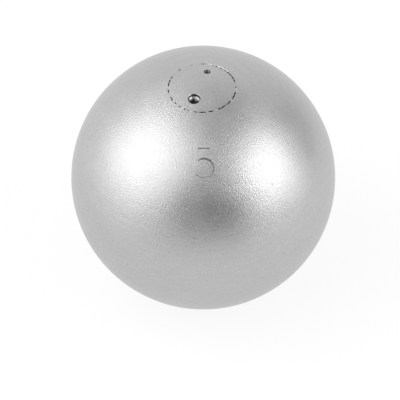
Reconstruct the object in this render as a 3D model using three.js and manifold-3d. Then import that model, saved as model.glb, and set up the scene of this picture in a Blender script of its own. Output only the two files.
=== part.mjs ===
// A shot for putting: a turned steel ball, bored along one axis and closed by a screw
// plug that is turned flush with it. The bore holds lead discs at the middle of the ball,
// which bring it to its weight, between wooden packing, and a rubber pad on the plug's
// nose presses on them. Lengths are millimetres. The origin is the centre of the ball,
// and +Z runs along the bore, out through the plug.

import * as THREE from 'three';
import { mergeVertices } from 'three/addons/utils/BufferGeometryUtils.js';
import Module from 'manifold-3d';

const wasm = await Module();
wasm.setup();

// Ball
const ballRadius = 54;
const floorThickness = 12;        // steel left under the tip of the drill point
const drillHalfAngle = 59;        // degrees, of a standard twist drill

// Screw thread of the plug and the ball, to the ISO metric profile, M24 x 3
const threadRadius = 12;
const threadPitch = 3;
const crestTruncation = 0.2;      // taken off the crest of the plug's thread
const flankHalfAngle = 30;        // degrees

// Closing plug
const shoulderWidth = 1.55;       // how far the head stands out past the thread
const headEdgeHeight = 5.4;       // cylindrical edge of the head, between seat and seam
const neckLength = 2;             // plain neck between the head and the thread
const threadLength = 12;
const noseChamfer = 1;
const spigotRadius = 4;
const spigotLength = 2;

// Two shallow holes in the plug's face for a pin spanner, about opposite each other
const largeHoleRadius = 2.5;
const largeHoleDepth = 1.2;       // of the full width, below the face at the hole's axis
const largeHoleOut = 7.85;        // from the plug's axis to the hole's
const largeHoleAngle = -114.3;    // degrees from +X towards +Y
const smallHoleRadius = 1.25;
const smallHoleDepth = 0.4;
const smallHoleOut = 8.4;
const smallHoleAngle = 75;

// Filling
const padFloor = 1.5;             // rubber under the end of the spigot
const trimDiscCount = 3;
const trimDiscThickness = 2.7;

// Clearances
const seamGap = 0.3;              // round the plug's head
const seatGap = 0.3;              // under the plug's head, and at its nose
const threadGap = 0.3;            // radial, between crest and root
const flankGap = 0.28;            // along the axis, between two flanks
const boreGap = 0.3;              // round the pad and the filling
const stackGap = 0.3;             // between neighbours in the bore

// Fineness of the faceting
const roundSteps = 72;            // round the ball and the bore
const upperSteps = 15;            // from the plug's seam to the ball's widest circle
const lowerSteps = 18;            // from there to the foot of the ball
const faceSteps = 4;              // from the middle of the plug's face to its edge
const threadSteps = 48;           // per turn
const holeSteps = 24;

const radians = THREE.MathUtils.degToRad;

// Radii that follow from the thread: the bore is the drilled hole that the thread is
// cut in, and the filling runs in it with its own clearance.
const threadDepth = 0.5413 * threadPitch;
const boreRadius = threadRadius - threadDepth;
const plugCrestRadius = threadRadius - crestTruncation;
const plugRootRadius = boreRadius - threadGap;
const ballRootRadius = plugCrestRadius + threadGap;
const headRadius = threadRadius + shoulderWidth;
const recessRadius = headRadius + seamGap;
const fillingRadius = boreRadius - boreGap;

// Heights along the bore, from the seam down to the drill point
const heightOnBall = (radius) => Math.sqrt(ballRadius ** 2 - radius ** 2);
const headEdgeTop = heightOnBall(headRadius);
const headUnderside = headEdgeTop - headEdgeHeight;
const seatHeight = headUnderside - seatGap;
const threadTop = headUnderside - neckLength;
const noseHeight = threadTop - threadLength;
const spigotEnd = noseHeight - spigotLength;
const padTop = noseHeight - seatGap;
const recessEnd = spigotEnd - seatGap;
const padBottom = recessEnd - padFloor;
const drillPointHeight = boreRadius / Math.tan(radians(drillHalfAngle));
const drillTip = -ballRadius + floorThickness;
const boreEnd = drillTip + drillPointHeight;

// The trim discs sit about the middle of the ball, and the packing fills the rest.
const trimDiscStep = trimDiscThickness + stackGap;
const trimStackTop = (trimDiscCount * trimDiscStep - stackGap) / 2;

// A profile of [radius, height] points, from the axis round to the axis, turned about Z.
// The points run so that the solid lies on their left.
function turned(profile, steps = roundSteps) {
  const points = profile.map(([radius, height]) => new THREE.Vector2(radius, height));
  return new THREE.LatheGeometry(points, steps).rotateX(Math.PI / 2);
}

// Points on the ball's outside between two angles from the top, in even steps.
function ballArc(fromAngle, toAngle, steps) {
  return Array.from({ length: steps + 1 }, (_, i) => {
    const angle = fromAngle + ((toAngle - fromAngle) * i) / steps;
    const onAxis = i === steps && toAngle === Math.PI;
    return [onAxis ? 0 : ballRadius * Math.sin(angle), ballRadius * Math.cos(angle)];
  });
}

// A closed geometry as a solid, without the flat triangles that meet the axis.
function solidFrom(geometry) {
  const bare = geometry.clone();
  bare.deleteAttribute('normal');
  bare.deleteAttribute('uv');
  const merged = mergeVertices(bare, 1e-4);
  const corners = merged.index.array;
  const kept = [];
  for (let i = 0; i < corners.length; i += 3) {
    const [a, b, c] = corners.slice(i, i + 3);
    if (a !== b && b !== c && c !== a) kept.push(a, b, c);
  }
  return new wasm.Manifold(new wasm.Mesh({
    numProp: 3,
    vertProperties: Float32Array.from(merged.attributes.position.array),
    triVerts: Uint32Array.from(kept),
  }));
}

function geometryFrom(solid) {
  const { vertProperties, triVerts, numProp } = solid.getMesh();
  const positions = new Float32Array((vertProperties.length / numProp) * 3);
  for (let i = 0; i < positions.length / 3; i += 1) {
    positions.set(vertProperties.subarray(i * numProp, i * numProp + 3), i * 3);
  }
  const geometry = new THREE.BufferGeometry();
  geometry.setAttribute('position', new THREE.BufferAttribute(positions, 3));
  geometry.setIndex(new THREE.BufferAttribute(Uint32Array.from(triVerts), 1));
  geometry.computeVertexNormals();
  return geometry;
}

// Half the width of the basic thread ridge at a radius: a sixteenth of the pitch at the
// nominal radius, and wider towards the axis by the flank angle.
function ridgeHalfWidth(radius) {
  return threadPitch / 16 + (threadRadius - radius) * Math.tan(radians(flankHalfAngle));
}

// A right-hand helical ridge of trapezoid section. It rises from the root over a fade at
// each end where one is asked for. Every ridge is in phase with the same helix, so the
// plug's thread lies in the middle of the ball's groove.
function helicalRidge({ root, crest, widening, low, high, fadeLow, fadeHigh }) {
  const turns = (high - low) / threadPitch;
  const steps = Math.ceil(turns * threadSteps);
  const positions = [];
  for (let i = 0; i <= steps; i += 1) {
    const turn = (turns * i) / steps;
    const height = low + turn * threadPitch;
    const angle = (2 * Math.PI * height) / threadPitch;
    const riseLow = fadeLow ? Math.min(1, turn / fadeLow) : 1;
    const riseHigh = fadeHigh ? Math.min(1, (turns - turn) / fadeHigh) : 1;
    const rise = Math.max(0.02, Math.min(riseLow, riseHigh));
    const top = root + (crest - root) * rise;
    const halfTop = ridgeHalfWidth(crest) + widening;
    const halfRoot = halfTop + (top - root) * Math.tan(radians(flankHalfAngle));
    const section = [[root, -halfRoot], [top, -halfTop], [top, halfTop], [root, halfRoot]];
    for (const [radius, offset] of section) {
      positions.push(radius * Math.cos(angle), radius * Math.sin(angle), height + offset);
    }
  }
  const index = [];
  for (let i = 0; i < steps; i += 1) {
    for (let side = 0; side < 4; side += 1) {
      const a = i * 4 + side;
      const b = i * 4 + ((side + 1) % 4);
      index.push(a, b + 4, b, a, a + 4, b + 4);
    }
  }
  const last = steps * 4;
  index.push(0, 1, 2, 0, 2, 3, last, last + 2, last + 1, last, last + 3, last + 2);
  const geometry = new THREE.BufferGeometry();
  geometry.setAttribute('position', new THREE.Float32BufferAttribute(positions, 3));
  geometry.setIndex(index);
  return solidFrom(geometry);
}

// How far a ridge is sunk into the solid it is joined to, or proud of the wall it cuts.
const ridgeOverlap = 0.25;

// The ball: one turned profile from the drill point up the bore, over the seat and round
// the outside, with the thread cut down from the seat and faded out below the plug.
function makeBallBody() {
  const seamAngle = Math.asin(recessRadius / ballRadius);
  const blank = solidFrom(turned([
    ...ballArc(Math.PI / 2, Math.PI, lowerSteps).reverse(),
    ...ballArc(seamAngle, Math.PI / 2, upperSteps).reverse().slice(1),
    [recessRadius, seatHeight],
    [boreRadius, seatHeight],
    [boreRadius, boreEnd],
    [0, drillTip],
  ]));
  const groove = helicalRidge({
    root: boreRadius - ridgeOverlap,
    crest: ballRootRadius,
    widening: flankGap / 2,
    low: noseHeight - threadPitch / 2,
    high: seatHeight + threadPitch,
    fadeLow: 0.5,
    fadeHigh: 0,
  });
  return geometryFrom(blank.subtract(groove));
}

// A drilled hole with its point, cut straight down beside the plug's axis.
function drill({ radius, depth, out, angle }) {
  const x = out * Math.cos(radians(angle));
  const y = out * Math.sin(radians(angle));
  const face = heightOnBall(out);
  const corner = face - depth;
  const tip = corner - radius / Math.tan(radians(drillHalfAngle));
  const outside = ballRadius + 1;
  const profile = [[0, tip], [radius, corner], [radius, outside], [0, outside]];
  return solidFrom(turned(profile, holeSteps).translate(x, y, 0));
}

// The plug: a head whose face carries on the ball's outside, a neck, the thread, and a
// spigot for the pad. The two spanner holes are drilled into its face.
function makeClosingPlug() {
  const edgeAngle = Math.asin(headRadius / ballRadius);
  const face = ballArc(edgeAngle, 0, faceSteps).slice(0, -1);
  const core = solidFrom(turned([
    [0, spigotEnd],
    [spigotRadius, spigotEnd],
    [spigotRadius, noseHeight],
    [plugRootRadius - noseChamfer, noseHeight],
    [plugRootRadius, noseHeight + noseChamfer],
    [plugRootRadius, headUnderside],
    [headRadius, headUnderside],
    ...face,
    [0, ballRadius],
  ]));
  const rootHalfWidth = ridgeHalfWidth(plugRootRadius);
  const ridge = helicalRidge({
    root: plugRootRadius - ridgeOverlap,
    crest: plugCrestRadius,
    widening: -flankGap / 2,
    low: noseHeight + noseChamfer + rootHalfWidth,
    high: threadTop - rootHalfWidth,
    fadeLow: 0.35,
    fadeHigh: 0.35,
  });
  const largeHole = drill({
    radius: largeHoleRadius,
    depth: largeHoleDepth,
    out: largeHoleOut,
    angle: largeHoleAngle,
  });
  const smallHole = drill({
    radius: smallHoleRadius,
    depth: smallHoleDepth,
    out: smallHoleOut,
    angle: smallHoleAngle,
  });
  return geometryFrom(core.add(ridge).subtract(largeHole).subtract(smallHole));
}

// The pad: a rubber cup pushed onto the spigot.
function makePressurePad() {
  const recess = spigotRadius + seatGap;
  return turned([
    [0, padBottom],
    [fillingRadius, padBottom],
    [fillingRadius, padTop],
    [recess, padTop],
    [recess, recessEnd],
    [0, recessEnd],
  ]);
}

function makeCylinder(bottom, top) {
  return turned([[0, bottom], [fillingRadius, bottom], [fillingRadius, top], [0, top]]);
}

// The lower packing ends in a point that fits the drill point.
function makeLowerPacking() {
  const pointEnd = drillTip + stackGap;
  const pointTop = pointEnd + fillingRadius / Math.tan(radians(drillHalfAngle));
  const top = -trimStackTop - stackGap;
  return turned([[0, pointEnd], [fillingRadius, pointTop], [fillingRadius, top], [0, top]]);
}

const turnedSteel = { color: 0xc6c6c6, roughness: 0.42, metalness: 1 };
const plugSteel = { color: 0xc9c9c9, roughness: 0.38, metalness: 1 };
const rubber = { color: 0x26262a, roughness: 0.85, metalness: 0 };
const hardwood = { color: 0xb98f5e, roughness: 0.7, metalness: 0 };
const lead = { color: 0x6c7176, roughness: 0.6, metalness: 1 };

const shot = new THREE.Group();

function place(name, geometry, look) {
  const mesh = new THREE.Mesh(geometry, new THREE.MeshStandardMaterial(look));
  mesh.name = name;
  shot.add(mesh);
}

place('ball_body', makeBallBody(), turnedSteel);
place('closing_plug', makeClosingPlug(), plugSteel);
place('pressure_pad', makePressurePad(), rubber);
place('upper_packing', makeCylinder(trimStackTop + stackGap, padBottom - stackGap), hardwood);
for (let i = 0; i < trimDiscCount; i += 1) {
  const top = trimStackTop - i * trimDiscStep;
  place(`trim_disc_${i + 1}`, makeCylinder(top - trimDiscThickness, top), lead);
}
place('lower_packing', makeLowerPacking(), hardwood);

export default shot;
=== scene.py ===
# A turned steel shot for putting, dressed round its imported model. The frame is in metres.
# Names that end in mm are millimetres, and every mesh is built in them and scaled once.

import math

import bmesh
import bpy
import numpy as np
from mathutils import Matrix, Vector, noise


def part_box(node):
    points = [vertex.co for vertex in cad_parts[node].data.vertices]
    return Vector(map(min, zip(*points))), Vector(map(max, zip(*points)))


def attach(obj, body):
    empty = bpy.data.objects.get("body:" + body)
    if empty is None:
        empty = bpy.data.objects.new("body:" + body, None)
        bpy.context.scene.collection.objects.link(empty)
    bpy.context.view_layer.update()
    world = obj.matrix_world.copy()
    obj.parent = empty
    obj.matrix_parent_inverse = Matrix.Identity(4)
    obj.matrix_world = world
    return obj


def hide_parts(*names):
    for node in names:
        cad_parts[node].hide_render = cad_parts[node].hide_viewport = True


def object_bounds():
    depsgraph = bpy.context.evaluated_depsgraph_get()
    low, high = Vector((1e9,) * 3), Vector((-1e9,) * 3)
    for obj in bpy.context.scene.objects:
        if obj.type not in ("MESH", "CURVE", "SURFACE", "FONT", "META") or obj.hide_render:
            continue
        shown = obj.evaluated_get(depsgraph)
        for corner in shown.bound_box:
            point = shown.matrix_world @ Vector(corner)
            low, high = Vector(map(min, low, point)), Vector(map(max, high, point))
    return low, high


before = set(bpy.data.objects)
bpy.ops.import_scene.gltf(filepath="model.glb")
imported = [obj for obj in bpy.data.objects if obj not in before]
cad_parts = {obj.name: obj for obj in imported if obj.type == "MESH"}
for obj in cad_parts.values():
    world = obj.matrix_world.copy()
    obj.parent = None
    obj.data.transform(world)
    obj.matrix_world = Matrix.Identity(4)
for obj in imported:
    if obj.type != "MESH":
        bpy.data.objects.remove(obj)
cad_low, cad_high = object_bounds()

# Ball body
# A ball of plain carbon steel, turned on a lathe and finished with abrasive cloth to a
# satin skin. It is bored along one axis and threaded at the mouth, and its weight class
# is cut into it as a plain numeral, above the middle of the side that faces -Y.

MM = 0.001
ball_radius_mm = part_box("ball_body")[1].x / MM
plug_head_radius_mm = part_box("closing_plug")[1].x / MM
filling_radius_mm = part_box("upper_packing")[1].x / MM
clearance_mm = 0.3
recess_radius_mm = plug_head_radius_mm + clearance_mm
bore_radius_mm = filling_radius_mm + clearance_mm
plug_tip_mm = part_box("closing_plug")[0].z / MM
spigot_length_mm = 2.0
nose_height_mm = plug_tip_mm + spigot_length_mm
head_edge_mm = 5.4
head_underside_mm = math.sqrt(ball_radius_mm**2 - plug_head_radius_mm**2) - head_edge_mm
seat_height_mm = head_underside_mm - clearance_mm
drill_slope = math.tan(math.radians(90 - 59))
drill_tip_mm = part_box("lower_packing")[0].z / MM - clearance_mm
bore_end_mm = drill_tip_mm + bore_radius_mm * drill_slope

thread_radius_mm = 12.0
thread_pitch_mm = 3.0
flank_slope = math.tan(math.radians(30))


def graded(start, end, first, growth, largest):
    """Places from start to end, a first step apart and then ever wider, up to the largest step."""
    steps = [first]
    while sum(steps) < abs(end - start):
        steps.append(min(steps[-1] * growth, largest))
    places = np.cumsum([0.0, *steps])
    return start + (end - start) * places / places[-1]


def graded_both_ways(start, end, first, last, growth, largest):
    """Places from start to end with fine steps at both ends."""
    middle = (start + end) / 2
    down = graded(start, middle, first, growth, largest)
    up = graded(end, middle, last, growth, largest)[::-1]
    return np.concatenate([down, up[1:]])


def turns_round(ring):
    """The angle of each point of a ring, ending with the first one again, a turn later."""
    turns = np.unwrap(np.arctan2(ring[:, 1], ring[:, 0]))
    return np.append(turns, turns[0] + 2 * math.pi)


def faces_between(low, low_start, high, high_start):
    """The faces between two rings, of equal or of different counts, or a ring and a pole."""
    if len(low) == len(high):
        here = np.arange(len(low))
        beside = (here + 1) % len(low)
        return np.column_stack([
            low_start + here, low_start + beside, high_start + beside, high_start + here,
        ]).tolist()
    low_turns, high_turns = turns_round(low), turns_round(high)
    faces, i, j = [], 0, 0
    low_steps = len(low) if len(low) > 1 else 0
    high_steps = len(high) if len(high) > 1 else 0
    while i < low_steps or j < high_steps:
        here = (low_start + i % len(low), high_start + j % len(high))
        if j == high_steps or (i < low_steps and low_turns[i + 1] <= high_turns[j + 1]):
            i += 1
            faces.append((here[0], low_start + i % len(low), here[1]))
        else:
            j += 1
            faces.append((here[0], high_start + j % len(high), here[1]))
    return faces


def mesh_from_rings(name, rings, materials=(), ring_material=None, painted_shade_and_highlight=None):
    """A closed mesh from a pole up through rings of points to another pole, in millimetres."""
    rings = [np.atleast_2d(ring) for ring in rings]
    points = np.concatenate(rings)
    faces, slots, start = [], [], 0
    for i, (ring, following) in enumerate(zip(rings, rings[1:])):
        new = faces_between(ring, start, following, start + len(ring))
        start += len(ring)
        faces.extend(new)
        slots.extend([ring_material[i] if ring_material else 0] * len(new))
    mesh = bpy.data.meshes.new(name)
    mesh.from_pydata((points * MM).tolist(), [], faces)
    for material in materials:
        mesh.materials.append(material)
    mesh.polygons.foreach_set("material_index", slots)
    mesh.shade_smooth()
    # Each point's painted shade value, negative where a painted highlight goes instead, for the steel
    # finishes to read.
    if painted_shade_and_highlight is not None:
        layer = mesh.attributes.new("painted_shade_and_highlight", "FLOAT", "POINT")
        layer.data.foreach_set("value", np.concatenate([np.atleast_1d(g) for g in painted_shade_and_highlight]))
    mesh.validate()
    piece = bpy.data.objects.new(name, mesh)
    bpy.context.scene.collection.objects.link(piece)
    return piece


# The numeral 5 is hand engraved: one bar, one short stem and one bowl. The skin was dressed
# again after it was cut, so the strokes are deep in some places and nearly gone in others.
numeral_from_top = math.radians(37.74)
numeral_turn = math.radians(-88.68)
numeral_tilt = math.radians(-1.76)
numeral_half_height_mm = 6.9
numeral_half_width_mm = 4.7
bar_left_mm, bar_right_mm, bar_height_mm = -2.82, 2.16, 6.08
bowl_across_mm, bowl_up_mm = -0.4, -2.07
bowl_radius_mm = 3.87
bowl_start, bowl_end = math.radians(126), math.radians(-141)
line_width_mm, bowl_width_mm = 0.46, 0.8
deepest_cut_mm = 0.13
bar_depths = (0.75, 0.75, 0.6, 0.75, 0.55)
stem_depths = (0.2, 0.15, 0.08, 0.06, 0.2)
bowl_depths = (0.35, 0.65, 0.75, 0.75, 0.75, 0.7, 0.6, 0.45, 0.1, 0.15, 0.25, 0.25, 0.4)
# How dark the painted shade in the numeral's grooves gets, and how deep a cut is where it is darkest.
darkest_numeral_shade, numeral_shade_full_at_mm = 0.7, 0.0385


def numeral_strokes():
    """The strokes of the 5, each a run of points with its depth at every point, and its width."""
    swing = np.linspace(bowl_start, bowl_end, 49)
    bowl = np.column_stack([
        bowl_across_mm + bowl_radius_mm * np.cos(swing),
        bowl_up_mm + bowl_radius_mm * np.sin(swing),
    ])
    ends = {
        "bar": ((bar_left_mm, bar_height_mm), (bar_right_mm, bar_height_mm), bar_depths),
        "stem": ((bar_left_mm + 0.1, bar_height_mm), tuple(bowl[0]), stem_depths),
    }
    strokes = []
    for start, end, depths in ends.values():
        line = np.linspace(start, end, 13)
        strokes.append((line, depths, line_width_mm))
    strokes.append((bowl, bowl_depths, bowl_width_mm))
    shares = [np.linspace(0, 1, len(depths)) for _, depths, _ in strokes]
    return [
        (path, np.interp(np.linspace(0, 1, len(path)), share, depths), width)
        for (path, depths, width), share in zip(strokes, shares)
    ]


def nearest_on_path(across, up, path, depths):
    """The distance from each point to a path, and the path's depth at the nearest place."""
    nearest = np.full(across.shape, 1e9)
    depth = np.zeros(across.shape)
    for (ax, ay), (bx, by), start, end in zip(path, path[1:], depths, depths[1:]):
        dx, dy = bx - ax, by - ay
        share = ((across - ax) * dx + (up - ay) * dy) / (dx * dx + dy * dy)
        share = np.clip(share, 0, 1)
        away = np.hypot(across - ax - share * dx, up - ay - share * dy)
        depth = np.where(away < nearest, start + (end - start) * share, depth)
        nearest = np.minimum(nearest, away)
    return nearest, depth


def numeral_cut(points):
    """How deep the numeral is cut at points on the ball, and the burr that it raised."""
    out = np.array([
        math.sin(numeral_from_top) * math.cos(numeral_turn),
        math.sin(numeral_from_top) * math.sin(numeral_turn),
        math.cos(numeral_from_top),
    ])
    east = np.array([-math.sin(numeral_turn), math.cos(numeral_turn), 0.0])
    north = np.cross(out, east)
    right = east * math.cos(numeral_tilt) + north * math.sin(numeral_tilt)
    upward = north * math.cos(numeral_tilt) - east * math.sin(numeral_tilt)
    across, up = points @ right, points @ upward
    cut = np.zeros(len(points))
    burr = np.zeros(len(points))
    near = (points @ out > 0) & (np.abs(across) < numeral_half_width_mm)
    near &= np.abs(up) < numeral_half_height_mm
    for path, depths, width in numeral_strokes():
        away, depth = nearest_on_path(across[near], up[near], path, depths)
        half_width = width / 2 * (0.3 + 0.9 * depth)
        groove = deepest_cut_mm * depth * np.clip(1 - (away / half_width) ** 2, 0, 1)
        cut[near] = np.maximum(cut[near], groove)
        lip = 0.006 * depth * np.exp(-(((away - half_width - 0.06) / 0.1) ** 2))
        burr[near] = np.maximum(burr[near], lip)
    return np.where(cut > 0, cut, -burr), cut


# The seam round the plug was burnished over when the ball was finished. It still shows as
# dashes, given here by their middles and half lengths in degrees round from +X.
seam_radius_mm = (plug_head_radius_mm + recess_radius_mm) / 2
open_dashes = (
    (-173, 3.5), (-155, 4.5), (-142, 2), (-131, 1.5), (-121, 1.2), (-115, 1.2), (-102, 2.5),
    (-90, 6), (-75, 4.5), (-54, 8), (-38, 6), (-19, 9), (1, 1), (21, 8), (37, 7), (52, 8),
    (66, 5), (88, 3), (107, 0.8), (131, 2), (153, 2.5), (167, 7),
)
seam_shut_mm, seam_open_mm = 0.02, 0.5
rim_band_mm = 2.0
# Places along the ball's seam edge that get a painted highlight, and one long one, by middle and half
# length in degrees.
painted_highlight_dashes = ((-158, 2), (-126, 3), (-110, 3), (-66, 2), (-46, 2), (-32, 3), (-5, 3))
long_painted_highlight = ((60, 19),)


def dashes_at(turn, dashes):
    """From 0 between the dashes to 1 on them."""
    share = np.zeros(turn.shape)
    for middle, half_length in dashes:
        away = (np.degrees(turn) - middle + 180) % 360 - 180
        share = np.maximum(share, np.clip((half_length - np.abs(away)) / 1.2 + 0.5, 0, 1))
    return share


def seam_openness(turn):
    """From 0 where the seam is burnished shut to 1 where it is open, with ragged ends."""
    openness = dashes_at(turn, open_dashes)
    ragged = np.sin(47 * turn + 0.6) + 0.8 * np.sin(83 * turn + 2.1) + 0.6 * np.sin(119 * turn)
    return openness * np.clip(0.78 + 0.28 * ragged, 0.15, 1)


def seam_fillet(turn, least, added):
    """Radius of a broken edge at the seam, widest where both edges were dressed off."""
    dressed = math.radians(54)
    away = (turn - dressed + math.pi) % (2 * math.pi) - math.pi
    return least + added * np.exp(-((away / math.radians(22)) ** 2))


def broken_edge(inward, fillet):
    """How far the skin has dropped at a distance from an edge that is rounded off."""
    left = np.clip(fillet - inward, 0, None)
    return fillet - np.sqrt(np.clip(fillet**2 - left**2, 0, None))


def ridge_height(turn, height, top_radius, half_top, low, high, fade_low, fade_high):
    """Radius of a helical ridge or groove where a turned wall meets it."""
    along = height - thread_pitch_mm * turn / (2 * math.pi)
    off = (along + thread_pitch_mm / 2) % thread_pitch_mm - thread_pitch_mm / 2
    centre = height - off
    rise = np.ones(np.shape(turn))
    if fade_low:
        rise = np.minimum(rise, (centre - low) / (fade_low * thread_pitch_mm))
    if fade_high:
        rise = np.minimum(rise, (high - centre) / (fade_high * thread_pitch_mm))
    inside = (centre >= low) & (centre <= high)
    flank = top_radius - np.clip(np.abs(off) - half_top, 0, None) / flank_slope
    return flank, np.where(inside, np.clip(rise, 0, 1), 0)


def ring_at(radius, height, around):
    """A ring of points at a radius and height, either of which may change round the ring."""
    flat = np.broadcast_to(height, around.shape)
    return np.column_stack([radius * np.cos(around), radius * np.sin(around), flat])


fine_step = 0.1 / (ball_radius_mm * math.sin(numeral_from_top))
numeral_reach = 1.12 * numeral_half_width_mm / (ball_radius_mm * math.sin(numeral_from_top))
dense = np.arange(0, numeral_reach, fine_step)
sparse = graded(dense[-1], math.pi, fine_step, 1.3, math.radians(2.4))
one_side = np.concatenate([dense, sparse[1:-1]])
around_numeral = numeral_turn + np.concatenate([-one_side[:0:-1], one_side])


def evenly_round(count):
    """Even angles round the axis, from opposite the numeral."""
    return numeral_turn - math.pi + 2 * math.pi * np.arange(count) / count


around_ball = evenly_round(150)
around_seam = evenly_round(480)
around_bore = evenly_round(144)


def ball_rings():
    """Rings from the foot of the ball, over its outside, and down the bore to the drill tip."""
    rings, painted_shade_and_highlight, bored = [], [], []

    def add(ring, shade_and_highlight, inside):
        rings.append(ring)
        painted_shade_and_highlight.append(np.broadcast_to(shade_and_highlight, (len(np.atleast_2d(ring)),)))
        bored.append(inside)

    def add_outside(angles, around):
        for angle in angles:
            ring = ring_at(ball_radius_mm * math.sin(angle), ball_radius_mm * math.cos(angle), around)
            lowered, cut = numeral_cut(ring)
            ring = ring * (1 - lowered / ball_radius_mm)[:, None]
            # Painted shade in the numeral's grooves, darker where they are cut deeper.
            add(ring, darkest_numeral_shade * np.clip(cut / numeral_shade_full_at_mm, 0, 1), 0)

    top_of_numeral = numeral_from_top - numeral_half_height_mm / ball_radius_mm
    foot_of_numeral = numeral_from_top + numeral_half_height_mm / ball_radius_mm
    row_step = 0.1 / ball_radius_mm
    rim_angle = math.asin((seam_radius_mm + rim_band_mm) / ball_radius_mm)
    below = graded(foot_of_numeral, math.pi, row_step, 1.25, math.radians(2.4))[::-1]
    numeral_rows = int(2 * numeral_half_height_mm / 0.1)
    middle = np.linspace(foot_of_numeral, top_of_numeral, numeral_rows)
    above = graded_both_ways(top_of_numeral, rim_angle, row_step, 0.5 / ball_radius_mm, 1.3, 0.03)
    add(np.array([0, 0, -ball_radius_mm]), 0, 0)
    add_outside(below[1:-1], around_ball)
    add_outside(middle, around_numeral)
    add_outside(above[1:], around_ball)

    openness = seam_openness(around_seam)
    lip = seam_radius_mm + (seam_shut_mm + (seam_open_mm - seam_shut_mm) * openness) / 2
    fillet = seam_fillet(around_seam, 0.05, 0.24)
    # Painted shade in the open dashes of the seam, right at the edge, and a painted highlight on the broken
    # edge at the listed places.
    edge_highlight = 0.5 * dashes_at(around_seam, painted_highlight_dashes)
    edge_highlight = edge_highlight + dashes_at(around_seam, long_painted_highlight)
    for inward in (1.5, 1.1, 0.8, 0.55, 0.4, 0.28, 0.19, 0.13, 0.08, 0.04, 0.012, 0.0):
        follow = (1 - inward / rim_band_mm) ** 2
        radius = seam_radius_mm + inward + (lip - seam_radius_mm) * follow
        height = np.sqrt(ball_radius_mm**2 - radius**2) - broken_edge(inward, fillet)
        shade_and_highlight = openness * np.clip(1 - inward / 0.1, 0, 1)
        shade_and_highlight = shade_and_highlight - edge_highlight * (0.04 < inward < 0.35)
        add(ring_at(radius, height, around_seam), shade_and_highlight, 0)

    # Inside the ball the colour gets painted shade: black in the gap under the rim, half as dark down the
    # recess wall, light on the seat and the bore, and darker the deeper the thread groove.
    rim_height = np.sqrt(ball_radius_mm**2 - lip**2) - fillet
    add(ring_at(lip, rim_height - 0.12, around_seam), 1, 1)
    add(ring_at(recess_radius_mm, rim_height - 0.4, around_seam), 1, 1)
    rim_foot = float(rim_height.min()) - 0.6
    for height in (rim_foot, rim_foot - 1.2, seat_height_mm + 1.0, seat_height_mm + 0.1):
        add(ring_at(recess_radius_mm, height, around_bore), 0.5, 1)
    countersink_mm = 0.35
    thread_mouth = thread_radius_mm + 0.1 + countersink_mm
    add(ring_at(recess_radius_mm - 0.1, seat_height_mm, around_bore), 0.3, 1)
    add(ring_at((recess_radius_mm + thread_mouth) / 2, seat_height_mm, around_bore), 0.1, 1)
    add(ring_at(thread_mouth, seat_height_mm, around_bore), 0.1, 1)

    groove_radius = thread_radius_mm - 0.2 + clearance_mm
    half_top = thread_pitch_mm / 16 - (groove_radius - thread_radius_mm) * flank_slope + 0.14
    groove_low = nose_height_mm - thread_pitch_mm / 2
    thread_rows = np.linspace(seat_height_mm, groove_low - thread_pitch_mm / 2, 112)
    for height in thread_rows[1:]:
        flank, rise = ridge_height(
            around_bore, height, groove_radius, half_top,
            groove_low, seat_height_mm + thread_pitch_mm, 0.5, 0,
        )
        depth = np.clip(flank - bore_radius_mm, 0, None)
        limit = (groove_radius - bore_radius_mm) * rise
        mouth = np.clip(thread_mouth - (seat_height_mm - height), bore_radius_mm, None)
        radius = np.maximum(bore_radius_mm + np.minimum(depth, limit), mouth)
        shade_and_highlight = 0.45 * np.minimum(depth, limit) / (groove_radius - bore_radius_mm)
        add(ring_at(radius, height, around_bore), shade_and_highlight, 1)
    for height in np.linspace(thread_rows[-1] - 2, bore_end_mm, 10):
        add(ring_at(bore_radius_mm, height, around_bore), 0.1, 1)
    for share in (0.75, 0.5, 0.25, 0.05):
        height = drill_tip_mm + share * (bore_end_mm - drill_tip_mm)
        add(ring_at(bore_radius_mm * share, height, around_bore), 0.2, 1)
    add(np.array([0, 0, drill_tip_mm]), 0.2, 1)
    return rings, bored, painted_shade_and_highlight


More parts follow.
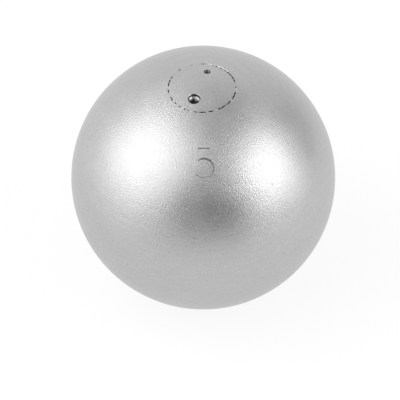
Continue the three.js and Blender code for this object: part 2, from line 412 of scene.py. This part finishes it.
class Finish:
    """The node finish of one material, each joined to the ones before it."""

    def __init__(self, name):
        self.material = bpy.data.materials.new(name)
        self.material.use_nodes = True
        self.tree = self.material.node_tree
        self.shader = self.tree.nodes["Principled BSDF"]
        self.place = self.add("ShaderNodeTexCoord").outputs["Object"]

    def add(self, kind, **settings):
        node = self.tree.nodes.new(kind)
        for key, value in settings.items():
            setattr(node, key, value)
        return node

    def feed(self, socket, value):
        if hasattr(value, "is_output"):
            self.tree.links.new(value, socket)
        else:
            socket.default_value = value

    def sum(self, a, b, operation="ADD"):
        node = self.add("ShaderNodeMath", operation=operation)
        self.feed(node.inputs[0], a)
        self.feed(node.inputs[1], b)
        return node.outputs[0]

    def noise(self, per_mm, detail=2.0, stretch=(1, 1, 1), turn=(0, 0, 0), rough=0.5):
        """Noise with so many features to the millimetre, stretched along a turned axis."""
        mapping = self.add("ShaderNodeMapping", vector_type="TEXTURE")
        self.feed(mapping.inputs["Vector"], self.place)
        mapping.inputs["Rotation"].default_value = turn
        mapping.inputs["Scale"].default_value = stretch
        node = self.add("ShaderNodeTexNoise")
        self.feed(node.inputs["Vector"], mapping.outputs["Vector"])
        node.inputs["Scale"].default_value = per_mm / MM
        node.inputs["Detail"].default_value = detail
        node.inputs["Roughness"].default_value = rough
        return node.outputs["Fac"]

    def between(self, value, low, high, to_low, to_high):
        """A value's range carried over to another range, held at its ends."""
        node = self.add("ShaderNodeMapRange")
        self.feed(node.inputs["Value"], value)
        for key, number in (("From Min", low), ("From Max", high), ("To Min", to_low), ("To Max", to_high)):
            self.feed(node.inputs[key], number)
        return node.outputs["Result"]

    def mix(self, share, first, second):
        node = self.add("ShaderNodeMix", data_type="RGBA")
        self.feed(node.inputs["Factor"], share)
        self.feed(node.inputs["A"], first)
        self.feed(node.inputs["B"], second)
        return node.outputs["Result"]

    def bump(self, height, depth_mm, under=None, strength=1.0):
        node = self.add("ShaderNodeBump")
        self.feed(node.inputs["Height"], height)
        self.feed(node.inputs["Strength"], strength)
        node.inputs["Distance"].default_value = depth_mm * MM
        if under is not None:
            self.feed(node.inputs["Normal"], under)
        return node.outputs["Normal"]

    def finish(self, colour, roughness, normal=None, metallic=0.0):
        self.feed(self.shader.inputs["Base Color"], colour)
        self.feed(self.shader.inputs["Roughness"], roughness)
        self.shader.inputs["Metallic"].default_value = metallic
        if normal is not None:
            self.feed(self.shader.inputs["Normal"], normal)
        return self.material


def grey(value):
    return (value, value, value, 1.0)


def scratches(finish, directions, per_mm, length):
    """Fine scratches that cross in many directions, as abrasive cloth leaves them."""
    total = 0.0
    for i in range(directions):
        swing = i * math.pi * (3 - math.sqrt(5))
        lean = math.acos(1 - (i + 0.5) / directions)
        line = finish.noise(per_mm, detail=1.0, stretch=(1, 1, length), turn=(0, lean, swing))
        total = finish.sum(total, line)
    return finish.sum(total, 1.0 / directions, "MULTIPLY")


steel_tone, steel_roughness = 0.545, 0.385
scratch_depth_mm, grain_depth_mm = 0.06, 0.148


def turned_steel(name):
    """Satin steel: crossing scratches, a grain that is coarser at -X, turning lines and pits, with painted
    shade and painted highlights from each point's value.
    """
    finish = Finish(name)
    cloth = scratches(finish, 7, 2.4, 4)
    grain = finish.noise(2.35, detail=0.0)
    speckle = finish.noise(1.7, detail=1.0)
    tool_lines = finish.noise(0.9, detail=2.0, stretch=(14, 14, 1))
    normal = finish.bump(cloth, scratch_depth_mm)
    # The real skin isn't known to change from side to side. The grain is eased towards +X
    # only because it looks finer there in the photograph.
    along = finish.add("ShaderNodeSeparateXYZ")
    finish.feed(along.inputs["Vector"], finish.place)
    coarseness = finish.between(along.outputs["X"], -20 * MM, 12 * MM, 1.0, 0.7)
    normal = finish.bump(grain, grain_depth_mm, under=normal, strength=coarseness)
    normal = finish.bump(tool_lines, 0.02, under=normal)
    cloud = finish.noise(0.09, detail=3.0)
    rough = finish.between(cloud, 0.3, 0.7, steel_roughness - 0.03, steel_roughness + 0.03)
    pits = finish.add("ShaderNodeTexVoronoi", feature="F1")
    finish.feed(pits.inputs["Vector"], finish.place)
    pits.inputs["Scale"].default_value = 0.22 / MM
    spot = finish.between(pits.outputs["Distance"], 0.04, 0.075, 1.0, 0.0)
    chosen = finish.add("ShaderNodeSeparateColor")
    finish.feed(chosen.inputs["Color"], pits.outputs["Color"])
    rare = finish.sum(chosen.outputs["Red"], 0.12, "LESS_THAN")
    spot = finish.sum(spot, rare, "MULTIPLY")
    # Each point's value paints shade, darkening the steel towards black together with the pits, and where
    # it is negative paints a highlight, lightening the steel towards white.
    shade_and_highlight = finish.add("ShaderNodeAttribute", attribute_name="painted_shade_and_highlight").outputs["Fac"]
    dark = finish.sum(finish.sum(spot, 0.55, "MULTIPLY"), shade_and_highlight, "MAXIMUM")
    painted_highlight = finish.between(shade_and_highlight, -1.0, 0.0, 1.0, 0.0)
    worn = finish.sum(finish.sum(cloud, tool_lines), 0.5, "MULTIPLY")
    surface_colour = finish.mix(worn, grey(steel_tone - 0.06), grey(steel_tone + 0.06))
    surface_colour = finish.mix(finish.between(speckle, 0.25, 0.75, 0.0, 0.27), surface_colour, grey(0.25))
    surface_colour = finish.mix(painted_highlight, surface_colour, grey(0.97))
    colour = finish.mix(dark, surface_colour, grey(0.03))
    return finish.finish(colour, rough, normal, metallic=1.0)


def bored_steel():
    """Steel as the boring bar left it: rings round the axis, darkened towards black by painted shade."""
    finish = Finish("bored_steel")
    split = finish.add("ShaderNodeSeparateXYZ")
    finish.feed(split.inputs["Vector"], finish.place)
    tool_mark_mm = 0.35
    wave = finish.sum(split.outputs["Z"], 2 * math.pi / (tool_mark_mm * MM), "MULTIPLY")
    wave = finish.sum(wave, 0.0, "SINE")
    patch = finish.noise(0.4, detail=3.0)
    normal = finish.bump(wave, 0.006)
    normal = finish.bump(patch, 0.03, under=normal)
    shade_and_highlight = finish.add("ShaderNodeAttribute", attribute_name="painted_shade_and_highlight").outputs["Fac"]
    surface_colour = finish.mix(patch, grey(0.36), grey(0.5))
    # Painted shade from each point's value darkens the bore towards black.
    colour = finish.mix(shade_and_highlight, surface_colour, (0.035, 0.03, 0.026, 1.0))
    return finish.finish(colour, finish.between(patch, 0.3, 0.7, 0.3, 0.45), normal, metallic=1.0)


ball_steel = turned_steel("turned_steel")
bore_steel = bored_steel()
rings, bored, painted_shade_and_highlight = ball_rings()
ball = mesh_from_rings("ball", rings, (ball_steel, bore_steel), bored, painted_shade_and_highlight)
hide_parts("ball_body")
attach(ball, "ball")

# Closing plug
# A steel screw plug with a wide head. It is screwed home on its seat and turned flush with
# the ball in one setting, so its face carries on the ball's outside. Two blind holes of
# different size, opposite each other, take the pins of a spanner.

plug_crest_mm = thread_radius_mm - 0.2
plug_root_mm = filling_radius_mm
spigot_radius_mm = 4.0
nose_chamfer_mm = 1.0
neck_length_mm = 2.0
flank_clearance_mm = 0.28
large_hole_radius_mm, large_hole_depth_mm = 2.5, 1.2
small_hole_radius_mm, small_hole_depth_mm = 1.25, 0.4
large_hole_out_mm, large_hole_turn = 7.85, math.radians(-114.3)
small_hole_out_mm, small_hole_turn = 8.4, math.radians(75)
hole_countersink_mm = 0.16


def plug_rings():
    """Rings from the end of the spigot, up the thread, and over the face to its middle."""
    rings, painted_shade_and_highlight = [np.array([0, 0, plug_tip_mm])], [0.0]
    around_plug = evenly_round(216)

    # Each ring carries painted shade: some on the spigot's shoulder and under and round the head, more the
    # deeper the thread root, black on the wall of the gap under the seam, and fading away from the edge
    # over the face beside the seam's open dashes.
    def add(radius, height, shade_and_highlight=0.0, around=around_plug):
        rings.append(ring_at(radius, height, around))
        painted_shade_and_highlight.append(np.broadcast_to(shade_and_highlight, around.shape))

    for inward, rise in ((0.4, 0.0), (0.12, 0.04), (0.0, 0.3)):
        add(spigot_radius_mm - inward, plug_tip_mm + rise)
    for outward, drop in ((0.0, 0.3), (0.08, 0.08), (0.3, 0.0)):
        add(spigot_radius_mm + outward, nose_height_mm - drop, 0.3)
    chamfer_foot = plug_root_mm - nose_chamfer_mm
    for outward, rise in ((-0.2, 0.0), (0.06, 0.06), (0.94, 0.94), (1.0, 1.15)):
        add(chamfer_foot + outward * nose_chamfer_mm, nose_height_mm + rise * nose_chamfer_mm)

    half_top = thread_pitch_mm / 16 + (thread_radius_mm - plug_crest_mm) * flank_slope
    half_root = half_top + (plug_crest_mm - plug_root_mm) * flank_slope
    low = nose_height_mm + nose_chamfer_mm + half_root
    high = head_underside_mm - neck_length_mm - half_root
    half_top -= flank_clearance_mm / 2
    thread_depth = plug_crest_mm - plug_root_mm
    for height in np.arange(nose_height_mm + 1.3, head_underside_mm - 0.5, 0.1):
        flank, rise = ridge_height(
            around_plug, height, plug_crest_mm, half_top, low, high, 0.35, 0.35)
        ridge = np.clip(flank - plug_root_mm, 0, thread_depth * rise)
        add(plug_root_mm + ridge, height, 0.35 * (1 - ridge / thread_depth))

    head = plug_head_radius_mm - 0.05
    for outward, drop in ((0.0, 0.4), (0.12, 0.12), (0.4, 0.0), (1.8, 0.0)):
        add(plug_root_mm + outward, head_underside_mm - drop, 0.3)
    for inward, rise in ((0.5, 0.0), (0.14, 0.04), (0.04, 0.14), (0.0, 0.5)):
        add(head - inward, head_underside_mm + rise, 0.2)
    openness = seam_openness(around_seam)
    edge = seam_radius_mm - (seam_shut_mm + (seam_open_mm - seam_shut_mm) * openness) / 2
    edge_height = np.sqrt(ball_radius_mm**2 - edge**2)
    rim_foot = float(edge_height.min()) - 0.6
    for height in (rim_foot - 3.0, rim_foot - 1.5, rim_foot):
        add(head, height, 0.4)
    fillet = seam_fillet(around_seam, 0.05, 0.3)
    add(np.minimum(edge, head), edge_height - fillet - 0.25, 1.0, around_seam)
    add(edge, edge_height - fillet - 0.08, 1.0, around_seam)
    for inward in (0.0, 0.01, 0.03, 0.06, 0.12, 0.2, 0.35, 0.6, 1.0, 1.5):
        follow = (1 - inward / rim_band_mm) ** 2
        radius = seam_radius_mm - inward + (edge - seam_radius_mm) * follow
        height = np.sqrt(ball_radius_mm**2 - radius**2) - broken_edge(inward, fillet)
        # Painted shade on the face beside an open dash of the seam, fading away from the edge.
        shade_near_edge = np.clip(1 - inward / (0.08 + fillet), 0, 1)
        add(radius, height, openness * shade_near_edge, around_seam)
    for radius in np.linspace(seam_radius_mm - 2.2, 0.6, 14):
        add(radius, math.sqrt(ball_radius_mm**2 - radius**2))
    rings.append(np.array([0, 0, ball_radius_mm]))
    painted_shade_and_highlight.append(0.0)
    return rings, painted_shade_and_highlight


def pin_hole_cutter(name, radius_mm, depth_mm, out_mm, turn, finish):
    """The shape that one drilled spanner hole removes: its point, its wall and a broken edge."""
    face = math.sqrt(ball_radius_mm**2 - out_mm**2)
    corner = face - depth_mm
    countersink = face - hole_countersink_mm
    flare = radius_mm + hole_countersink_mm
    profile = [
        (radius_mm * 0.5, corner - radius_mm * 0.5 * drill_slope, 0),
        (radius_mm * 0.94, corner - radius_mm * 0.06 * drill_slope, 0),
        (radius_mm, corner + 0.08, 0),
        (radius_mm, (corner + countersink) / 2, 0),
        (radius_mm, countersink, 1),
        (flare, face, 1),
        (flare + 0.25, face + 0.25, 1),
        (flare + 0.25, face + 1.2, 1),
    ]
    round_hole = np.linspace(-math.pi, math.pi, 64, endpoint=False)
    outward = np.array([math.cos(turn), math.sin(turn), 0])
    middle = outward * out_mm
    rings = [middle + (0, 0, corner - radius_mm * drill_slope)]
    for radius, height, lies_on_face in profile:
        ring = ring_at(radius, height, round_hole)
        ring[:, 2] -= lies_on_face * (ring @ outward) * out_mm / face
        rings.append(ring + middle)
    rings.append(middle + (0, 0, face + 1.2))
    return mesh_from_rings(name, rings, (finish,))


def cut_away(piece, cutters):
    """Cut each cutter's shape from the piece, leaving the cutter's finish on the new walls."""
    for cutter in cutters:
        cut = piece.modifiers.new("pin hole", "BOOLEAN")
        cut.operation = "DIFFERENCE"
        cut.solver = "EXACT"
        cut.material_mode = "TRANSFER"
        cut.object = cutter
    shaped = piece.evaluated_get(bpy.context.evaluated_depsgraph_get())
    mesh = bpy.data.meshes.new_from_object(shaped)
    piece.modifiers.clear()
    piece.data = mesh
    for cutter in cutters:
        bpy.data.objects.remove(cutter)


def sharpen_between_finishes(piece):
    """A crisp edge wherever one finish meets another."""
    shape = bmesh.new()
    shape.from_mesh(piece.data)
    for edge in shape.edges:
        finishes = {face.material_index for face in edge.link_faces}
        edge.smooth = len(finishes) < 2
    shape.to_mesh(piece.data)
    shape.free()


def drilled_steel(name, out_mm, depth_mm, unshaded_above_mm):
    """The wall of a drilled hole: bright where the drill cut it, and painted black as shade towards its
    bottom.
    """
    finish = Finish(name)
    wall = finish.noise(1.2, detail=2.0)
    normal = finish.bump(wall, 0.03)
    split = finish.add("ShaderNodeSeparateXYZ")
    finish.feed(split.inputs["Vector"], finish.place)
    corner = math.sqrt(ball_radius_mm**2 - out_mm**2) - depth_mm
    uneven = finish.sum(finish.sum(wall, 0.9 * MM, "MULTIPLY"), split.outputs["Z"])
    # Painted shade: black below a ragged line near the bottom of the hole, fading out above it.
    below = finish.between(uneven, (corner - 0.3) * MM, (corner + unshaded_above_mm) * MM, 1.0, 0.0)
    colour = finish.mix(below, grey(0.5), grey(0.03))
    return finish.finish(colour, 0.24, normal, metallic=1.0)


plug_steel = turned_steel("plug_steel")
large_hole_steel = drilled_steel(
    "large_hole_steel", large_hole_out_mm, large_hole_depth_mm, unshaded_above_mm=0.5)
small_hole_steel = drilled_steel(
    "small_hole_steel", small_hole_out_mm, small_hole_depth_mm, unshaded_above_mm=3.2)
rings, painted_shade_and_highlight = plug_rings()
plug = mesh_from_rings("plug", rings, (plug_steel,), painted_shade_and_highlight=painted_shade_and_highlight)
cut_away(plug, [
    pin_hole_cutter(
        "large_hole", large_hole_radius_mm, large_hole_depth_mm,
        large_hole_out_mm, large_hole_turn, large_hole_steel,
    ),
    pin_hole_cutter(
        "small_hole", small_hole_radius_mm, small_hole_depth_mm,
        small_hole_out_mm, small_hole_turn, small_hole_steel,
    ),
])
sharpen_between_finishes(plug)
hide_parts("closing_plug")
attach(plug, "plug")


# Pressure pad
# A moulded rubber cup, pushed onto the spigot of the plug. It presses on the packing when
# the plug is screwed home, so that nothing in the ball can rattle.


def soft_outline(corners, edge_mm, longest_mm):
    """A turned outline with its corners rounded off and its long sides divided."""
    corners = [np.array(corner, dtype=float) for corner in corners]
    points = [corners[0]]
    for before, corner, after in zip(corners, corners[1:], corners[2:]):
        back = (before - corner) / np.linalg.norm(before - corner)
        ahead = (after - corner) / np.linalg.norm(after - corner)
        for share in np.linspace(0, 1, 5):
            points.append(corner + edge_mm * ((1 - share) ** 2 * back + share**2 * ahead))
    points.append(corners[-1])
    divided = [points[0]]
    for start, end in zip(points, points[1:]):
        pieces = max(1, math.ceil(np.linalg.norm(end - start) / longest_mm))
        for i in range(pieces):
            divided.append(start + (end - start) * (i + 1) / pieces)
    return divided


def turned_piece(name, outline, finish, around=96, wear=None):
    """A piece turned about the bore's axis from its outline, worn by a small inward shift."""
    turn = np.linspace(0, 2 * math.pi, around, endpoint=False)
    rings = []
    for i, (radius, height) in enumerate(outline):
        at_pole = i in (0, len(outline) - 1)
        ring = np.array([[0, 0, height]]) if at_pole else ring_at(radius, height, turn)
        if wear is not None and not at_pole:
            ring = np.array([wear(Vector(point)) for point in ring])
        rings.append(ring)
    return mesh_from_rings(name, rings, (finish,))


def pad_rubber():
    """Black rubber with a matt moulded skin and a bloom of pale dust."""
    finish = Finish("pad_rubber")
    skin = finish.noise(6.0, detail=2.0)
    bloom = finish.noise(0.35, detail=5.0, rough=0.65)
    dust = finish.between(bloom, 0.45, 0.75, 0.0, 1.0)
    colour = finish.mix(dust, (0.02, 0.02, 0.022, 1), (0.065, 0.063, 0.06, 1))
    return finish.finish(colour, finish.between(bloom, 0.3, 0.7, 0.6, 0.85), finish.bump(skin, 0.03))


pad_low, pad_high = (corner.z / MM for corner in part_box("pressure_pad"))
pad_recess_radius_mm = spigot_radius_mm + clearance_mm
pad_recess_mm = plug_tip_mm - clearance_mm
pad = turned_piece(
    "pad",
    soft_outline(
        [
            (0, pad_low),
            (filling_radius_mm, pad_low),
            (filling_radius_mm, pad_high),
            (pad_recess_radius_mm, pad_high),
            (pad_recess_radius_mm, pad_recess_mm),
            (0, pad_recess_mm),
        ],
        edge_mm=0.35,
        longest_mm=1.2,
    ),
    pad_rubber(),
)
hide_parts("pressure_pad")
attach(pad, "pad")


# Wooden packing
# Two turned hardwood dowels fill the bore above and below the lead. Their grain runs along
# the bore, their edges are broken, and the lower one has a point that fits the drill point.


def packing_wood(name, heart):
    """Oiled hardwood: growth rings round a heart beside the axis, long pores and a soft sheen."""
    finish = Finish(name)
    shift = finish.add("ShaderNodeMapping")
    finish.feed(shift.inputs["Vector"], finish.place)
    shift.inputs["Location"].default_value = (heart[0] * MM, heart[1] * MM, 0)
    shift.inputs["Scale"].default_value = (1, 1, 0.06)
    ring = finish.add("ShaderNodeTexWave", wave_type="RINGS", rings_direction="Z")
    finish.feed(ring.inputs["Vector"], shift.outputs["Vector"])
    ring.inputs["Scale"].default_value = 0.16 / MM
    ring.inputs["Distortion"].default_value = 2.2
    ring.inputs["Detail"].default_value = 2.0
    ring.inputs["Detail Scale"].default_value = 1.4
    pores = finish.noise(3.0, detail=2.0, stretch=(1, 1, 22))
    patch = finish.noise(0.12, detail=2.0, stretch=(1, 1, 3))
    colour = finish.mix(ring.outputs["Fac"], (0.6, 0.41, 0.23, 1), (0.42, 0.25, 0.125, 1))
    pore_share = finish.between(pores, 0.55, 0.68, 0.0, 0.6)
    colour = finish.mix(pore_share, colour, (0.2, 0.11, 0.05, 1))
    colour = finish.mix(finish.between(patch, 0.3, 0.7, 0.0, 0.35), colour, (0.36, 0.22, 0.11, 1))
    normal = finish.bump(pores, 0.05)
    return finish.finish(colour, finish.between(pores, 0.3, 0.7, 0.5, 0.7), normal)


def turning_marks(point):
    """Faint rings that the turning gouge left, cut a little deeper at odd places."""
    rings = 0.5 + 0.5 * math.sin(point.z * 2.3)
    depth_mm = 0.04 * rings + 0.03 * max(0, noise.noise(point * 0.5))
    radius = math.hypot(point.x, point.y)
    if radius < filling_radius_mm - 0.02:
        return point
    return Vector((point.x * (1 - depth_mm / radius), point.y * (1 - depth_mm / radius), point.z))


upper_low, upper_high = (corner.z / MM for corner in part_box("upper_packing"))
lower_low, lower_high = (corner.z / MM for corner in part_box("lower_packing"))
point_top_mm = lower_low + filling_radius_mm * drill_slope
packing_outlines = {
    "upper_packing": [
        (0, upper_low),
        (filling_radius_mm, upper_low),
        (filling_radius_mm, upper_high),
        (0, upper_high),
    ],
    "lower_packing": [
        (0, lower_low),
        (filling_radius_mm, point_top_mm),
        (filling_radius_mm, lower_high),
        (0, lower_high),
    ],
}
for i, (node, corners) in enumerate(packing_outlines.items()):
    heart = ((3.5, -5.0), (-6.0, 2.0))[i]
    dowel = turned_piece(
        node.replace("packing", "dowel"),
        soft_outline(corners, edge_mm=0.5, longest_mm=0.6),
        packing_wood(f"packing_wood_{i + 1}", heart),
        wear=turning_marks,
    )
    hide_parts(node)
    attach(dowel, "ball")


# Lead trim discs
# Three discs of cast lead at the middle of the ball bring it to its weight. They are cut
# from a bar and filed, so they are soft edged, scuffed and dull grey with oxide.


def trim_lead():
    """Dull lead: blue grey metal under a patchy pale oxide, with short file scratches."""
    finish = Finish("trim_lead")
    patch = finish.noise(0.3, detail=4.0, rough=0.6)
    file_marks = scratches(finish, 3, 3.0, 8)
    oxide = finish.between(patch, 0.4, 0.65, 0.0, 1.0)
    colour = finish.mix(oxide, (0.13, 0.14, 0.158, 1), (0.25, 0.255, 0.265, 1))
    normal = finish.bump(file_marks, 0.12)
    roughness = finish.between(patch, 0.35, 0.65, 0.42, 0.7)
    return finish.finish(colour, roughness, normal, metallic=0.85)


def lead_dents(point):
    """Small dents, pressed inward from the faces and the rim of a disc."""
    middle = disc_middle_mm
    away = point - Vector((0, 0, middle))
    dent_mm = 0.22 * max(0, noise.noise(point * 0.42) - 0.1) + 0.05 * abs(noise.noise(point * 1.7))
    rim = max(0, math.hypot(away.x, away.y) / filling_radius_mm - 0.8) / 0.2
    radius = max(math.hypot(away.x, away.y), 0.01)
    shrink = 1 - rim * dent_mm / radius
    lower = 1 - dent_mm / (disc_thickness_mm / 2)
    return Vector((point.x * shrink, point.y * shrink, middle + away.z * lower))


lead = trim_lead()
for number in (1, 2, 3):
    node = f"trim_disc_{number}"
    disc_low, disc_high = (corner.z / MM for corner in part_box(node))
    disc_thickness_mm = disc_high - disc_low
    disc_middle_mm = (disc_low + disc_high) / 2
    disc = turned_piece(
        f"lead_disc_{number}",
        soft_outline(
            [
                (0, disc_low),
                (filling_radius_mm, disc_low),
                (filling_radius_mm, disc_high),
                (0, disc_high),
            ],
            edge_mm=0.4,
            longest_mm=0.6,
        ),
        lead,
        wear=lead_dents,
    )
    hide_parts(node)
    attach(disc, "ball")


# Camera
# The photograph looks down on the ball from the front at about half a right angle. Its
# distance can't be told from a ball, and is chosen here as far away.

camera_distance = 3.2
towards_camera = Vector((0, -0.6905, 0.7233)).normalized()
level_right = Vector((1, 0, 0))
level_up = towards_camera.cross(level_right)
camera_roll = math.radians(-0.8)
camera_right = level_right * math.cos(camera_roll) + level_up * math.sin(camera_roll)
camera_up = level_up * math.cos(camera_roll) - level_right * math.sin(camera_roll)
aim = camera_right * -0.00133 - camera_up * 0.00921

view = bpy.data.objects.new("camera", bpy.data.cameras.new("camera"))
bpy.context.scene.collection.objects.link(view)
view.data.lens = 703.9
view.data.sensor_width = 36
view.data.clip_end = 20
turn_to_view = Matrix((camera_right, camera_up, towards_camera)).transposed()
view.matrix_world = Matrix.LocRotScale(aim + towards_camera * camera_distance, turn_to_view, None)
bpy.context.scene.camera = view


# Studio
# A sheet of white paper that the ball rests on, in a pale room between two soft boxes. The
# room is darker in front, low on the right, and overhead, as set by matching the photograph.

studio_floor = bpy.data.meshes.new("studio_floor")
half_floor = 0.8
floor_corners = [
    (x * half_floor, y * half_floor, cad_low[2])
    for x, y in ((-1, -1), (1, -1), (1, 1), (-1, 1))
]
studio_floor.from_pydata(floor_corners, [], [(0, 1, 2, 3)])
floor = bpy.data.objects.new("studio_floor", studio_floor)
bpy.context.scene.collection.objects.link(floor)

paper = bpy.data.materials.new("studio_paper")
paper.use_nodes = True
paper_nodes = paper.node_tree.nodes
paper_links = paper.node_tree.links
paper_nodes.remove(paper_nodes["Principled BSDF"])
matt = paper_nodes.new("ShaderNodeBsdfDiffuse")
matt.inputs["Color"].default_value = grey(0.95)
white = paper_nodes.new("ShaderNodeEmission")
white.inputs["Color"].default_value = grey(1.0)
white.inputs["Strength"].default_value = 1.0
path = paper_nodes.new("ShaderNodeLightPath")
seen = paper_nodes.new("ShaderNodeMath")
seen.operation = "ADD"
paper_links.new(path.outputs["Is Camera Ray"], seen.inputs[0])
paper_links.new(path.outputs["Is Glossy Ray"], seen.inputs[1])
seen_too = paper_nodes.new("ShaderNodeMath")
seen_too.operation = "ADD"
seen_too.use_clamp = True
paper_links.new(seen.outputs[0], seen_too.inputs[0])
paper_links.new(path.outputs["Is Transmission Ray"], seen_too.inputs[1])
share = paper_nodes.new("ShaderNodeMath")
share.operation = "MULTIPLY"
share.inputs[1].default_value = 0.85
paper_links.new(seen_too.outputs[0], share.inputs[0])
blend = paper_nodes.new("ShaderNodeMixShader")
paper_links.new(share.outputs[0], blend.inputs["Fac"])
paper_links.new(matt.outputs[0], blend.inputs[1])
paper_links.new(white.outputs[0], blend.inputs[2])
paper_links.new(blend.outputs[0], paper_nodes["Material Output"].inputs["Surface"])
floor.data.materials.append(paper)

room = bpy.data.worlds.new("studio_room")
room.use_nodes = True
bpy.context.scene.world = room
room_nodes = room.node_tree.nodes
room_links = room.node_tree.links
look = room_nodes.new("ShaderNodeTexCoord").outputs["Generated"]


def facing(direction):
    """The cosine of the angle between a look and a direction in the room."""
    dot = room_nodes.new("ShaderNodeVectorMath")
    dot.operation = "DOT_PRODUCT"
    room_links.new(look, dot.inputs[0])
    dot.inputs[1].default_value = Vector(direction).normalized()
    return dot.outputs["Value"]


def shade(level, direction, outer, share):
    """The room's level taken down by a share, inside a soft-edged circle round a direction."""
    edge = room_nodes.new("ShaderNodeMapRange")
    edge.interpolation_type = "SMOOTHSTEP"
    room_links.new(facing(direction), edge.inputs["Value"])
    edge.inputs["From Min"].default_value = outer
    edge.inputs["From Max"].default_value = 0.97
    edge.inputs["To Min"].default_value = 1.0
    edge.inputs["To Max"].default_value = 1.0 - share
    total = room_nodes.new("ShaderNodeMath")
    total.operation = "MULTIPLY"
    room_links.new(edge.outputs["Result"], total.inputs[0])
    if hasattr(level, "is_output"):
        room_links.new(level, total.inputs[1])
    else:
        total.inputs[1].default_value = level
    return total.outputs[0]


level = shade(0.96, (0.277, 0.181, 0.944), 0.753, 0.5)
level = shade(level, (0.37, -0.929, 0.0), 0.0, 0.76)
level = shade(level, (0.871, -0.187, -0.454), 0.04, 0.85)
room_links.new(level, room_nodes["Background"].inputs["Strength"])
room_nodes["Background"].inputs["Color"].default_value = grey(1.0)


def soft_box(name, direction, width, watts):
    """A square lamp that faces the ball from 1.2 m."""
    lamp = bpy.data.lights.new(name, "AREA")
    lamp.shape = "SQUARE"
    lamp.size = width
    lamp.energy = watts
    box = bpy.data.objects.new(name, lamp)
    bpy.context.scene.collection.objects.link(box)
    toward_box = Vector(direction).normalized()
    box.location = toward_box * 1.2
    box.rotation_euler = toward_box.to_track_quat("Z", "Y").to_euler()


soft_box("soft_box_left", (-0.764, -0.189, 0.617), 1.5, 11.1)
soft_box("soft_box_right", (0.845, -0.312, 0.435), 1.14, 10.1)

bpy.context.scene.view_settings.view_transform = "Standard"
